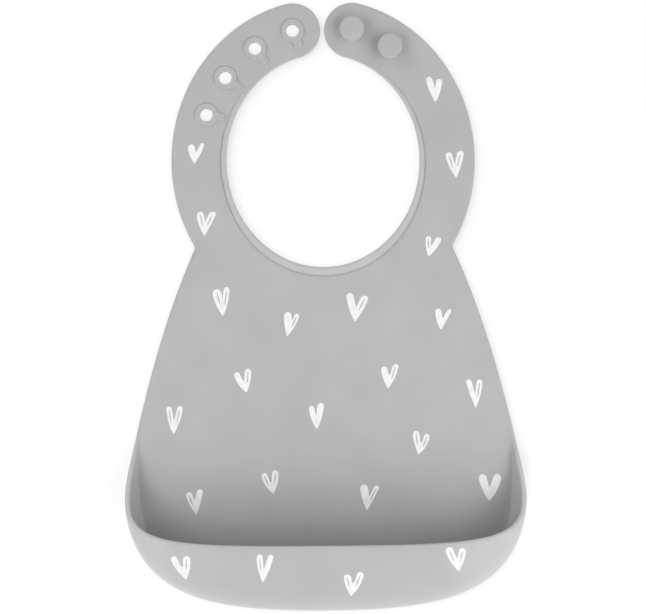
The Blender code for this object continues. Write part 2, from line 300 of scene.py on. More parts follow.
bead = {
    "lowWidth": 4.3,        # at the bottom of the neck
    "sideWidth": 2.7,       # at the straps' bends
    "height": 1.0,
    "inset": 0.8,
    "creaseDepth": 0.25,
    # painted shade along the bead's crease
    "creasePaintedShade": 0.22,
    # painted highlight on the bead's crown and over the neck's rounded edge
    "crownPaintedHighlight": 0.2,
    "creaseWidth": 0.45,
    "endPower": 0.8,        # lower keeps the bead high for longer before it dies away
    # degrees round the ring where the bead has died away, and its width there
    "leftEnd": (44.0, 2.5),
    "rightEnd": (58.0, 1.2),
}
borderWidth = 8.0           # strip along each edge that follows the edge's own line
beadSteps = 14
creaseLines = np.array([0.2, 0.4, 0.65, 0.95, 1.4])
borderLines = 23            # grid lines in each border strip
lastGap = 2.3               # from the last of them to the outer edge
middleSteps = 16
edgeSteps = 11
edgeTurn = np.linspace(0, math.pi, edgeSteps)


def beadSize(angle, end):
    # full width at the neck's lowest point, narrower at the bends, then dying away up the strap
    bend = math.asin(-plan["bendDrop"] / (plan["halfHeight"] - edge))
    last, endWidth = math.radians(end[0]), end[1]
    share = np.clip((last - angle) / (last - bend), 0, 1)
    swell = np.sin(np.clip((bend - angle) / (math.pi + 2 * bend), 0, 1) * math.pi)
    width = endWidth + (bead["sideWidth"] - endWidth) * share
    width = width + (bead["lowWidth"] - bead["sideWidth"]) * swell
    return width, bead["height"] * np.sin(share * math.pi / 2) ** bead["endPower"]


def sheetLoops(neck, neckWay, outer, outerWay, width, height, roundWay=None, cut=None):
    # top z = sheet + bead height * sqrt(1 - f^3) - crease * exp(-(distance / crease width)^2),
    # where f runs from the neck edge to the bead's outer side; both edges are half rounds
    count = len(neck)
    roundWay = outerWay if roundWay is None else roundWay
    cut = np.zeros(count, bool) if cut is None else cut
    f = np.sin(np.linspace(0, math.pi / 2, beadSteps + 1)[1:])
    foot = bead["inset"] + width
    lines = [half + f * (foot[:, None] - half), foot[:, None] + creaseLines]
    rest = borderLines - beadSteps - len(creaseLines)
    share = np.linspace(0, 1, rest + 1)[1:]
    start = foot[:, None] + creaseLines[-1]
    lines.append(start + share * (borderWidth - start))
    distance = np.concatenate(lines, 1)
    rise = np.zeros_like(distance)
    rise[:, :beadSteps] = height[:, None] * np.sqrt(np.clip(1 - f**3, 0, 1))
    dip = np.exp(-(((distance - foot[:, None]) / bead["creaseWidth"]) ** 2))
    rise -= dip * bead["creaseDepth"] * (height / bead["height"])[:, None]
    neckSide = neck[:, None] + neckWay[:, None] * distance[..., None]
    gap = np.linspace(borderWidth, lastGap, borderLines)
    outerSide = outer[:, None] - outerWay[:, None] * gap[:, None]
    share = np.linspace(0, 1, middleSteps + 1)[1:-1, None]
    middle = neckSide[:, -1:] * (1 - share) + outerSide[:, :1] * share
    flat = np.concatenate([neckSide, middle, outerSide], 1)
    level = np.full(flat.shape[:2], thickness)
    level[:, :borderLines] += rise
    tone = np.zeros_like(level)
    # painted highlight on the bead's crown
    tone[:, :borderLines] = bead["crownPaintedHighlight"] * np.clip(rise, 0, None) / bead["height"]
    # painted shade along the crease
    tone[:, :borderLines] -= bead["creasePaintedShade"] * dip * (height / bead["height"])[:, None]
    none = np.zeros_like(level)
    top = np.stack([flat[..., 0], flat[..., 1], level, tone], -1)
    under = np.stack([flat[..., 0], flat[..., 1], none, none], -1)[:, ::-1]
    sine, cosine = np.sin(edgeTurn), np.cos(edgeTurn)
    bow = np.where(cut[:, None], 0, half * (sine - 1))
    outerXy = outer[:, None] + roundWay[:, None] * bow[..., None]
    outerZ = np.where(cut[:, None], np.linspace(thickness, 0, edgeSteps), half + half * cosine)
    outerEdge = np.stack([outerXy[..., 0], outerXy[..., 1], outerZ, 0 * outerZ], -1)
    neckXy = neck[:, None] + neckWay[:, None] * (half * (1 - sine))[:, None]
    neckZ = (thickness + height)[:, None] / 2 * (1 - cosine)
    # painted highlight over the rounded neck edge, strongest at its top
    neckPaintedHighlight = bead["crownPaintedHighlight"] * (height / bead["height"])[:, None] * np.sin(edgeTurn / 2)
    neckEdge = np.stack([neckXy[..., 0], neckXy[..., 1], neckZ, neckPaintedHighlight], -1)
    return np.concatenate([top, outerEdge, under, neckEdge], 1)


topCount = 2 * borderLines + middleSteps - 1
loopCount = 2 * topCount + 2 * edgeSteps

# Catch pocket: a scoop lofted from four rails, with a rounded lip

pocket = {
    "depth": 42.0,          # height of the rim over the back, in the middle
    "rimDrop": 214.1,       # all drops are measured down from the neck centre
    "lip": 1.3,             # radius of the rounded lip
    "rootPull": 89.2,       # where the flat back ends
    "rootHalfWidth": 118.3,
    "rootCorner": 67.9,
    "rootDrop": 246.0,
    "footPull": 90.7,       # corner that the wall turns up in
    "footHalfWidth": 119.9,
    "footCorner": 81.9,
    "footDrop": 255.0,
    "footWeight": 2.2,      # higher makes that corner tighter
    "bellyPull": 87.5,      # bulge of the wall
    "bellyHalfWidth": 127.6,
    "bellyCorner": 100.5,
    "bellyDrop": 268.6,
    "bellyDepth": 39.0,
    "sideDepth": 11.0,
    "rimPull": 62.8,
    "rimHalfWidth": 119.6,
    "rimCorner": 117.6,
    "rimSideDepth": 21.0,
    "rimCornerDepth": 43.5,
    "startWidth": 2.4,      # width of sheet that becomes the wall, at the fold
    "seamWidth": 20.0,      # the same strip of grid lines at the seam
    "softStart": 0.2,       # share of the rails over which the wall lifts off the sheet
    "lipStart": 0.85,       # share of the way up the wall at which it starts to swell to the lip
    "lipRunIn": 0.15,       # share of the rails over which the lip and the painted highlight and shade on the wall come in
    # painted highlight on the lip's inner side
    "lipTone": 0.55,
    "lipTonePower": 0.8,    # lower spreads the lip's painted highlight further over to its outer side
    "footPaintedShade": 0.36,       # painted shade on the outside of the wall at its foot
    "footTop": 0.75,        # share of the way up the wall at which that has died away
    "footReach": 0.3,
    "sidePaintedLight": 0.3,        # painted highlight on the outside of the wall past the corners
    "sideStart": 55.0,
    "sideReach": 50.0,
}
pocketRows = 150
foldRows = 14
wallLines = 36
plateLines = 73


def pocketMiddle(u, v):
    # u runs down the rails from the fold to the bottom middle, v across them from the back to the rim;
    # each rail is a cubic curve, and across them runs a cubic whose second point weighs more
    p = pocket
    start = plan["panelHalfWidth"] - half - p["startWidth"] * (1 - np.arange(4) / 3)
    rails = np.array([
        [(start[0], foldY, half), (p["rootHalfWidth"], foldY - p["rootPull"], half),
         (p["rootCorner"], -p["rootDrop"], half), (0, -p["rootDrop"], half)],
        [(start[1], foldY, half), (p["footHalfWidth"], foldY - p["footPull"], half),
         (p["footCorner"], -p["footDrop"], half), (0, -p["footDrop"], half)],
        [(start[2], foldY, half), (p["bellyHalfWidth"], foldY - p["bellyPull"], p["sideDepth"]),
         (p["bellyCorner"], -p["bellyDrop"], p["bellyDepth"]), (0, -p["bellyDrop"], p["bellyDepth"])],
        [(start[3], foldY, half), (p["rimHalfWidth"], foldY - p["rimPull"], p["rimSideDepth"] - p["lip"]),
         (p["rimCorner"], -p["rimDrop"] - p["lip"], p["rimCornerDepth"]),
         (0, -p["rimDrop"] - p["lip"], p["depth"])],
    ], float)
    u, v = np.broadcast_arrays(u, v)
    curves = [bezier(rail, u) for rail in rails]
    weights = [(1 - v) ** 3, 3 * (1 - v) ** 2 * v * p["footWeight"], 3 * (1 - v) * v * v, v**3]
    point = sum(weight[..., None] * curve for weight, curve in zip(weights, curves)) / sum(weights)[..., None]
    lift = 1 - np.clip(1 - u / p["softStart"], 0, 1) ** 2
    point[..., 2] = half + (point[..., 2] - half) * lift
    return point


def pocketHalf(u, v):
    # half the wall's thickness, which swells a little towards the lip
    swell = ease((v - pocket["lipStart"]) / (1 - pocket["lipStart"]))
    return half + (pocket["lip"] - half) * swell * ease(u / pocket["lipRunIn"])


def pocketWays(u, v, step=1e-4):
    # slopes along both parameters and the wall's normal, which points into the pocket
    alongU = pocketMiddle(u + step, v) - pocketMiddle(u - step, v)
    alongV = pocketMiddle(u, v + step) - pocketMiddle(u, v - step)
    return alongU, alongV, unit(np.cross(alongV, alongU)) * -1


def sideEdge(t):
    # right-hand edge of the panel, from the notch down to the fold
    notch = ringPoint(math.radians(plan["notchAngle"]), edge)
    foot = np.array([plan["panelHalfWidth"], foldY])
    pulls = notch + (plan["shoulderFlare"], -plan["sidePull"]), foot + (-plan["hipFlare"], plan["sidePull"])
    return bezier([notch, *pulls, foot], t)


sideTable = sideEdge(np.linspace(0, 1, 2001))
seamShare = np.interp(-seamY, -sideTable[:, 1], np.linspace(0, 1, 2001))
cornerX = sideEdge(seamShare)[0]
seamHalf = cornerX - half


def seamPlaces():
    # places along the seam from the middle to the right: even over the back, closer over the wall's strip
    back = np.linspace(0, seamHalf - pocket["seamWidth"], plateLines // 2 + 1)
    strip = seamHalf - pocket["seamWidth"] * (1 - np.linspace(0, 1, wallLines))
    return np.concatenate([back[:-1], strip])


def withPaintedLight(points, tone):
    # painted highlight or shade as the fourth number of each point
    return np.concatenate([points, tone[..., None]], -1)


def pocketLoops():
    # each loop: inner wall, back, inner wall, lip, outer wall, underside, outer wall, lip
    v = np.linspace(0, 1, wallLines)
    y = np.linspace(seamY, foldY, foldRows + 1)[:-1, None]
    share = (seamY - y) / (seamY - foldY)
    sideX = np.interp(-y, -sideTable[:, 1], sideTable[:, 0])
    strip = pocket["seamWidth"] + (pocket["startWidth"] - pocket["seamWidth"]) * ease(share)
    flatX = sideX - half - strip * (1 - v)
    flat = np.stack([flatX, np.broadcast_to(y, flatX.shape), np.full(flatX.shape, half)], -1)
    u = np.linspace(0, 1, pocketRows)[:, None]
    alongU, alongV, normal = pocketWays(u, v)
    wall = np.concatenate([flat, pocketMiddle(u, v)])
    up = np.zeros_like(flat) + (0, 0, 1)
    normal = np.concatenate([up, normal])
    thick = np.concatenate([np.full(flatX.shape, half), pocketHalf(u, v)])
    rimWay = alongV[:, -1] - alongU[:, -1] * (np.sum(alongV[:, -1] * alongU[:, -1], -1)
                                            / np.sum(alongU[:, -1] ** 2, -1))[:, None]
    rimWay = np.concatenate([np.zeros((foldRows, 3)) + (1, 0, 0), unit(rimWay)])
    wall[-1, :, 0] = 0
    normal[-1, :, 0] = 0
    rimWay[-1, 0] = 0
    inner = wall + normal * thick[..., None]
    outer = wall - normal * thick[..., None]
    turn = edgeTurn[1:-1, None]
    lipWay = normal[:, -1:] * np.cos(turn) + rimWay[:, None] * np.sin(turn)
    lip = wall[:, -1:] + thick[:, -1:, None] * lipWay
    # tones: painted highlight on the lip, palest on its inner side; on the outside of the wall painted
    # highlight at both ends and painted shade at its foot between them
    lifted = np.concatenate([np.zeros(foldRows), ease(u[:, 0] / pocket["lipRunIn"])])[:, None]
    lipTone = pocket["lipTone"] * lifted
    # where the painted highlight past the corners lies
    atSide = ease((outer[..., 0] - pocket["sideStart"]) / pocket["sideReach"])
    # where the painted shade at the wall's foot lies, fading out past the corners
    atFoot = ease((pocket["footTop"] - v) / pocket["footReach"]) * (1 - atSide)
    # painted light on the outside of the wall: painted highlight at its ends less painted shade at its foot
    sidePaintedLight = lifted * (pocket["sidePaintedLight"] * atSide - pocket["footPaintedShade"] * atFoot)
    inner = withPaintedLight(inner, lipTone * (v == 1))
    outer = withPaintedLight(outer, sidePaintedLight)
    inwardShare = np.cos(turn[:, 0] / 2) ** pocket["lipTonePower"]
    lip = withPaintedLight(lip, np.maximum(lipTone * inwardShare, sidePaintedLight[:, -1:]))
    across = np.linspace(-1, 1, plateLines)[1:-1, None]
    onlyX = [True, False, False, False]
    back = inner[:, :1] * np.where(onlyX, across, 1)
    under = outer[:, :1] * np.where(onlyX, -across, 1)
    return np.concatenate([mirrored(inner)[:, ::-1], back, inner, lip, outer[:, ::-1], under,
                           mirrored(outer), mirrored(lip)[:, ::-1]], 1)


def makePocket():
    loops = pocketLoops()
    rows, columns = loops.shape[:2]
    piece = addPiece("catch_pocket_scoop", [(loops, loopFaces(rows, columns))], siliconeFinish,
                     [np.arange(columns)])
    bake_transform(piece)
    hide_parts("catch_pocket", "pocket_rim")


# Chest panel with the lower half of the neck bead

sideSteps = 70
notchSteps = 14
shoulderSteps = 5
seamLeanLength = 14.0       # mm along the seam and up the side, over which the grid lines lean
sideLeanLength = 50.0


def panelHalf():
    # outer line of the right half: along the seam, up the side, round the notch and along the ring
    seamX = seamPlaces()
    seam = np.stack([seamX, np.full(len(seamX), seamY)], -1)
    reach = plan["notchReach"]
    notchAngle = math.radians(plan["notchAngle"])
    notch = ringPoint(notchAngle, edge)
    sideStart = reach / np.linalg.norm(sideEdge(1.0) - notch)
    sideT = np.linspace(seamShare, sideStart, sideSteps)
    side = sideEdge(sideT)
    sideWay = sideEdge(sideT + 1e-4) - sideEdge(sideT - 1e-4)
    sideWay = unit(np.stack([-sideWay[:, 1], sideWay[:, 0]], -1))
    ringStart = notchAngle + reach / halfWidth
    ringEnd = math.radians(plan["strapSeam"])
    shoulder = ringPoint(ringStart, edge)
    t = np.linspace(0, 1, notchSteps)[1:-1]
    bend = [side[-1], notch, notch, shoulder]
    corner = bezier(bend, t)
    cornerSlope = unit(bezier(bend, t + 1e-3) - bezier(bend, t - 1e-3))
    cornerWay = np.stack([cornerSlope[:, 1], -cornerSlope[:, 0]], -1)
    ringAngles = np.linspace(ringStart, ringEnd, shoulderSteps)
    # near the lower corner the grid lines lean over to the diagonal
    diagonal = unit(np.array([1.0, -1.0]))
    seamLean = ease(1 - (seamHalf - seamX) / seamLeanLength)[:, None]
    seamWay = unit(np.array([0, -1.0]) * (1 - seamLean) + diagonal * seamLean)
    sideLean = ease(1 - (side[:, 1] - seamY) / sideLeanLength)[:, None]
    sideZone = unit(sideWay * (1 - sideLean) + diagonal * sideLean)
    sideRound = unit(sideWay * (1 - sideLean) + np.array([1.0, 0]) * sideLean)
    outer = np.concatenate([seam, side, corner, ringPoint(ringAngles, edge)])
    zoneWay = np.concatenate([seamWay, sideZone, cornerWay, ringNormal(ringAngles)])
    roundWay = np.concatenate([seamWay, sideRound, cornerWay, ringNormal(ringAngles)])
    cut = np.arange(len(outer)) < len(seam)
    # the neck's own angle follows the length of the outer line, and is the ring's angle at the strap
    steps = np.concatenate([[0], np.cumsum(np.linalg.norm(np.diff(outer, axis=0), axis=1))])
    free = len(outer) - len(ringAngles)
    angle = -math.pi / 2 + (ringStart + math.pi / 2) * steps[:free] / steps[free]
    return np.concatenate([angle, ringAngles]), outer, zoneWay, roundWay, cut, len(seam)


def makePanel():
    angle, outer, zoneWay, roundWay, cut, corner = panelHalf()
    width, height = beadSize(angle, bead["rightEnd"])
    neck = ringPoint(angle, -edge)
    loops = sheetLoops(neck, ringNormal(angle), outer, zoneWay, width, height, roundWay, cut)
    # the cut corner shares its lines with the rounded corner beside it
    loops[corner - 1, :topCount] = loops[corner, :topCount]
    loops[corner - 1, topCount + edgeSteps:] = loops[corner, topCount + edgeSteps:]
    both = np.concatenate([mirrored(loops)[:0:-1], loops])
    rows = len(both)
    ends = [np.arange(loopCount), np.arange(loopCount) + (rows - 1) * loopCount]
    piece = addPiece("chest_panel_sheet", [(both, loopFaces(rows, loopCount))], siliconeFinish, ends)
    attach(piece, "panel")
    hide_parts("chest_panel", "neck_bead")


# Straps

hole = {
    "radius": 3.66,
    "edge": 0.35,           # rounding at the back
}
cellHalf = edge - borderWidth
pitch = plan["buttonPitch"]
halfCell = middleSteps // 2


def strapRows(stops):
    # places along the strap from its tip, in runs of (end, steps)
    rows = [np.array([stops[0][0]], float)]
    for (start, _), (end, steps) in zip(stops, stops[1:]):
        rows.append(np.linspace(start, end, steps + 1)[1:])
    return np.concatenate(rows)


tipSteps = 49
strapEnd = np.interp(-math.radians(plan["strapSeam"]), -angleTable, lengthTable)
seamLength = 2.5 * pitch
tipStops = [(0, 0), (cellHalf, halfCell), (pitch - cellHalf, 8), (pitch + cellHalf, middleSteps),
            (2 * pitch - cellHalf, 10), (2 * pitch + cellHalf, middleSteps), (seamLength, 4)]
rootStops = [(seamLength, 0), (3 * pitch - cellHalf, 4), (3 * pitch + cellHalf, middleSteps), (strapEnd, 64)]


def strapLoops(lengths, end):
    # sheet loops square to the ring, at lengths along it from the tip's button
    angle = angleBelowTip(lengths)
    angle[np.isclose(lengths, strapEnd)] = math.radians(plan["strapSeam"])
    width, height = beadSize(angle, end)
    normal = ringNormal(angle)
    return sheetLoops(ringPoint(angle, -edge), normal, ringPoint(angle, edge), normal, width, height)


def holeRings(radius):
    # rings from the cell's border in to the hole, down its wall, which is darkened with painted shade, and
    # out again
    # underneath: share of the way in, what is added to the radius, and height with tone
    share = np.linspace(0, 1, halfCell + 1)
    rounding = hole["edge"] if radius else 0
    inward = np.concatenate([share, [1, 1, 1], share[::-1]])
    widen = np.concatenate([share * 0, [0, 0, 0.3 * rounding], share * 0 + rounding])
    level = np.concatenate([share * 0 + thickness, [half, rounding, 0.3 * rounding], share * 0])
    # painted shade down the hole's wall
    tone = np.concatenate([share * 0, [-1, -1, -1], share * 0]) if radius else 0 * level
    return inward[:, None, None], widen[:, None, None], np.stack([level, tone], -1)


def cellBorder(first, last):
    # grid indices round a cell of the middle strip, as (row, line) pairs
    low, high = borderLines - 1, borderLines - 1 + middleSteps
    lines = np.arange(low, high)
    rows = np.arange(first, last)
    row = np.concatenate([np.full(len(lines), first), rows, np.full(len(lines), last), rows[::-1] + 1])
    line = np.concatenate([lines, np.full(len(rows), high), lines[::-1] + 1, np.full(len(rows), low)])
    return row, line


def polarCell(loops, row, line, centre, radius):
    # border * (1 - share) + hole circle * share, ring by ring
    border = loops[row, line, :2]
    way = unit(border - centre)
    inward, widen, level = holeRings(radius)
    flat = border * (1 - inward) + (centre + way * (radius + widen)) * inward
    return withLevels(flat, level[:, None])


def keptFaces(rows, cells):
    # grid faces outside the button-hole cells, on top and underneath
    keep = np.ones((rows - 1, loopCount), bool)
    low, high = borderLines - 1, borderLines - 1 + middleSteps
    under = topCount + edgeSteps
    for first, last in cells:
        keep[first:last, low:high] = False
        keep[first:last, under + topCount - 1 - high:under + topCount - 1 - low] = False
    return keep


def tipEnd(loops, radius):
    # half round about the last button: straight lines out from the button, swung from the outer
    # edge of the strap round its end to the neck edge
    centre = ringPoint(tipAngle, 0)
    outward = ringNormal(tipAngle)
    onward = np.array([-outward[1], outward[0]])
    swing = np.linspace(0, math.pi, tipSteps)[:, None]
    way = outward * np.cos(swing) + onward * np.sin(swing)
    first = loops[0, :, :2]
    reach = np.linalg.norm(first - centre, axis=1)
    outerReach = reach[borderLines - 1 + middleSteps:topCount]
    neckReach = reach[:borderLines][::-1]
    share = swing / math.pi
    border = outerReach * (1 - share) + neckReach * share
    rim = (edge - half + half * np.sin(edgeTurn)) + 0 * share
    inward, widen, level = holeRings(radius)
    inward, widen = inward[::-1, 0].T, widen[::-1, 0].T
    inside = (border[:, :1] * (1 - inward) + (radius + widen) * inward)[:, 1:-1]
    span = np.concatenate([border, rim, border[:, ::-1], inside], 1)
    height = np.concatenate([np.full(borderLines, thickness), half + half * np.cos(edgeTurn),
                             np.zeros(borderLines), level[::-1, 0][1:-1]])
    # the hole's painted shade carried round the tip
    tone = np.concatenate([np.zeros(2 * borderLines + edgeSteps), level[::-1, 1][1:-1]])
    flat = centre + way[:, None] * span[..., None]
    return withLevels(flat, np.stack([height, tone], -1))


def strapBlocks(lengths, end, holes, radius, atTip):
    # grid with its button-hole cells swapped for polar ones, and the round end on a tip
    loops = strapLoops(lengths, end)
    cells = []
    blocks = []
    for place in holes:
        first = int(np.argmin(np.abs(lengths - max(place - cellHalf, 0))))
        last = int(np.argmin(np.abs(lengths - place - cellHalf)))
        cells.append((first, last))
        row, line = cellBorder(first, last)
        if place == 0:
            row, line = np.roll(row, -middleSteps), np.roll(line, -middleSteps)
            row, line = row[:2 * middleSteps + 1], line[:2 * middleSteps + 1]
        ring = polarCell(loops, row, line, ringPoint(angleBelowTip(place), 0), radius)
        blocks.append((ring, loopFaces(len(ring), ring.shape[1], closed=place != 0)))
    rows = len(lengths)
    blocks.insert(0, (loops, loopFaces(rows, loopCount, keptFaces(rows, cells))))
    caps = [np.arange(loopCount) + (rows - 1) * loopCount]
    if atTip:
        roundEnd = tipEnd(loops, radius if holes else 0)
        blocks.append((roundEnd, loopFaces(len(roundEnd), roundEnd.shape[1])))
    else:
        caps.append(np.arange(loopCount))
    return blocks, caps


def makeStrap(kind, side, end, tipHoles, rootHoles):
    tipRows, rootRows = strapRows(tipStops), strapRows(rootStops)
    for part, rows, holes in (("tip", tipRows, tipHoles), ("root", rootRows, rootHoles)):
        blocks, caps = strapBlocks(rows, end, holes, hole["radius"], part == "tip")
        if side < 0:
            blocks = [(mirrored(points), quads) for points, quads in blocks]
        piece = addPiece(f"{kind}_strap_{part}_sheet", blocks, siliconeFinish, caps)
        if part == "tip":
            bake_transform(piece)
            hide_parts(f"{kind}_strap_tip")
        else:
            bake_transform(piece)
            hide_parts(f"{kind}_strap", "neck_bead_left" if side < 0 else "neck_bead_right")


# Collars round the button holes

collar = {
    "radius": 6.6,
    "tongueLength": 10.7,
    "tongueWidth": 4.9,
    "tongueTurns": (8, 4, 4, 10),   # degrees that the tongues lean away from the neck centre
    "corner": 11,           # higher is tighter at the tongue's end
    "fillet": 14,           # higher is tighter where the tongue leaves the collar
    "height": 0.8,
    "bore": 3.62,
}
collarSteps = 128


def collarLoops(centre, lean):
    # keyhole outline in polar form: the tongue's sides and end joined by a power mean with a negative
    # power, which rounds its corners, and then the collar's circle by one with a positive power
    turn = np.linspace(0, 2 * math.pi, collarSteps + 1)[:-1]
    least = 0.05            # keeps the divisions away from nought
    ahead = np.cos(turn) > least
    side = collar["tongueWidth"] / 2 / np.maximum(np.abs(np.sin(turn)), least)
    front = collar["tongueLength"] / np.maximum(np.cos(turn), least)
    p = collar["corner"]
    tongue = np.where(ahead, (side**-p + front**-p) ** (-1 / p), 1)
    p = collar["fillet"]
    outline = (collar["radius"] ** p + tongue**p) ** (1 / p)
    heading = math.atan2(-centre[1], -centre[0]) + math.radians(lean)
    way = np.stack([np.cos(turn + heading), np.sin(turn + heading)], -1)
    top = thickness + collar["height"]
    # distance in from the outline or out from the bore, height and tone; the tone is painted shade at the
    # foot and down the bore and painted highlight along the raised outer edge and the bore's rim
    outside = np.array([(-0.3, thickness - 0.25, 0), (-0.3, thickness + 0.02, 0), (0, thickness + 0.1, -0.3),
                        (0.05, top - 0.3, -0.2), (0.15, top - 0.08, 0.05), (0.35, top + 0.04, 0.18),
                        (0.65, top + 0.02, 0.18), (1.0, top - 0.1, 0), (1.3, top - 0.12, 0)])
    inside = np.array([(1.0, top - 0.12, 0), (0.65, top - 0.04, 0.1), (0.35, top - 0.03, 0.3),
                       (0.1, top - 0.15, 0.3), (0, top - 0.3, -1), (0, thickness - 0.8, -1)])
    span = np.concatenate([outline[:, None] - outside[:, 0],
                           np.broadcast_to(collar["bore"] + inside[:, 0], (len(turn), len(inside)))], 1)
    level = np.concatenate([outside[:, 1:], inside[:, 1:]])
    flat = centre + way[:, None] * span[..., None]
    loops = withLevels(flat, level)
    return np.concatenate([loops, loops[:1]])


def makeCollars():
    for k, lean in enumerate(collar["tongueTurns"]):
        centre = ringPoint(angleBelowTip(k * pitch), 0) * (-1, 1)
        loops = collarLoops(centre, lean)
        piece = addPiece(f"hole_collar_{k + 1}_ring", [(loops, loopFaces(*loops.shape[:2]))], siliconeFinish)
        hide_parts(f"hole_collar_{k + 1}")
        if k in (1, 2):
            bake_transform(piece)
        else:
            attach(piece, "hole_strap_tip" if k == 0 else "hole_strap")


# Studs

stud = {
    "headRadius": 7.0,
    "headHeight": 2.6,
    "edge": 0.9,
    "postRadius": 3.5,
    "postTop": 6.4,         # underside of the head, above the back of the sheet
    "neckFillet": 0.5,      # under the head
    "footFillet": 0.8,
    "crown": 0.15,
    "sunk": 0.4,            # how far the foot reaches into the strap
}
studSteps = 96


def studLoops(centre):
    # turned profile: crown, rounded rim, underside, post and a foot fillet that runs into the strap
    s = stud
    top = s["postTop"] + s["headHeight"]
    quarter = np.linspace(0, math.pi / 2, 8)
    flatRadius = s["headRadius"] - s["edge"]
    crownRadius = np.linspace(0, flatRadius, 12)
    crownLevel = top + s["crown"] * (1 - (crownRadius / flatRadius) ** 2)
    rimTop = flatRadius + s["edge"] * np.sin(quarter[1:])
    rimTopLevel = top - s["edge"] * (1 - np.cos(quarter[1:]))
    under = s["postTop"]
    rimLow = flatRadius + s["edge"] * np.cos(quarter)
    rimLowLevel = under + s["edge"] * (1 - np.sin(quarter))
    neck = s["neckFillet"]
    neckRadius = s["postRadius"] + neck * (1 - np.sin(quarter))
    neckLevel = under - neck * (1 - np.cos(quarter))
    foot = s["footFillet"]
    footRadius = s["postRadius"] + foot * (1 - np.cos(quarter))
    footLevel = thickness + foot * (1 - np.sin(quarter))
    sunk = thickness - s["sunk"]
    radius = np.concatenate([crownRadius, rimTop, rimLow, neckRadius, footRadius, [footRadius[-1] + 0.05, 0]])
    level = np.concatenate([crownLevel, rimTopLevel, rimLowLevel, neckLevel, footLevel, [sunk, sunk]])
    turn = np.linspace(0, 2 * math.pi, studSteps + 1)[:, None]
    flat = centre + np.stack([np.cos(turn) * radius, np.sin(turn) * radius], -1)
    return withLevels(flat, level[:, None])


def makeStuds():
    for k in range(2):
        loops = studLoops(ringPoint(angleBelowTip(k * pitch), 0))
        quads = loopFaces(*loops.shape[:2], closed=False)
        piece = addPiece(f"stud_{k + 1}_button", [(loops, quads)], siliconeFinish)
        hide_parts(f"stud_{k + 1}")
        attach(piece, "stud_strap_tip")


# Camera values, which also place what is read from the photograph

view = {
    "imageSize": (646, 614),
    "distance": 800.0,      # mm above the sheet
    "scale": 0.575,         # mm for a pixel at that distance
    "axisPlace": (-0.7, -83.95),   # mm from the neck centre, under the middle of the picture
    "turn": 0.0078,         # radians that the bib lies turned in the picture
    "sensor": 36.0,
}


def fromPicture(pixel, height=0.0):
    # a pixel's distance from the middle of the picture, scaled at that height and turned back
    offset = (np.asarray(pixel, float) - np.array(view["imageSize"]) / 2) * (1, -1)
    offset = offset * (view["scale"] * (1 - np.asarray(height) / view["distance"]))[..., None]
    c, s = math.cos(view["turn"]), math.sin(view["turn"])
    return np.array(view["axisPlace"]) + offset @ np.array([[c, -s], [s, c]])


# Printed hearts: each is two inked drops that meet in a point

# In pixels of the picture: the point, the tops of the left and right drop, the drops' widths and how far
# they bow outwards. The last number tells which drops keep a bare slit: 1 the left, 2 the right, 3 both
frontHearts = [
    (204.4, 236.3, 199.6, 211.5, 214.3, 211.6, 7.4, 6.8, -0.1, -1.3, 3),
    (428.3, 256.8, 428.3, 235.9, 439.8, 237.4, 5.6, 6.1, 0, -0.1, 1),
    (223, 316.4, 216, 289, 227, 286.9, 9, 6.2, 0.1, 0.2, 3),
    (286.9, 336.7, 287.9, 311.7, 297.8, 313.8, 7.7, 5.3, -0.2, 0.2, 2),
    (354.8, 322.1, 349.2, 292.8, 366.1, 295.6, 7.7, 7.7, -0.2, -0.7, 2),
    (440.9, 330.2, 437.8, 308.4, 450.3, 309.3, 6.7, 4.5, -0.1, -0.8, 0),
    (246.4, 392.7, 235.7, 372.3, 248.2, 368.4, 6.5, 6.8, 0.3, 0.2, 2),
    (388.1, 388.7, 383.9, 366.2, 396.6, 364, 6.9, 6.2, 0.1, 0, 2),
    (475.7, 408.2, 468.1, 379.2, 479.7, 379.3, 5.6, 5.9, -0.4, 0.4, 2),
    (173.6, 434.7, 168.8, 406.3, 180.5, 405.7, 5.8, 5.8, 0.4, 0.2, 3),
    (317.2, 429.8, 311.1, 405.6, 321.4, 402.7, 6, 6.5, 0.6, -0.3, 0),
    (418.6, 454.9, 415.8, 430.6, 427.7, 433.8, 6.7, 6, 0, 0.8, 3),
    (196.3, 515.3, 187.8, 492.2, 200.7, 489.4, 6.4, 6.7, -0.1, -1, 1),
    (273.2, 494.3, 263.5, 473.2, 275.5, 470.3, 6.1, 6.7, 0.5, 0.3, 3),
    (367, 510.9, 363.4, 484.3, 378, 485.6, 8.2, 5.3, -0.2, -1.1, 2),
    (488.9, 501.8, 481.2, 474.2, 498.4, 474, 8.1, 8.5, -0.4, 0.3, 0),
]
holeStrapHearts = [
    (194.6, 164.1, 190.7, 144.2, 203, 143.2, 7.4, 4.7, 0.1, -0.6, 0),
]
studStrapHearts = [
    (435.3, 102.7, 428.2, 76.7, 439.4, 78.6, 6.5, 6.2, -0.4, 0.3, 0),
    (456.4, 178.1, 447.9, 152.3, 461.4, 150.5, 6.8, 7, 0.2, -0.8, 3),
]
pocketHearts = [
    (186.5, 580, 172.5, 556.4, 186.4, 555.9, 6.3, 7.3, 0.6, 0, 2),
    (262.9, 582.7, 259.6, 554.3, 271.4, 554.8, 5.9, 5.6, 0.7, -0.1, 1),
    (351, 596.3, 346.4, 574.6, 361.4, 572.2, 7.6, 6.9, -0.3, 0.5, 3),
    (458.9, 571.4, 447.8, 547.4, 463.2, 548.1, 7.9, 7.5, 0, -0.3, 3),
]
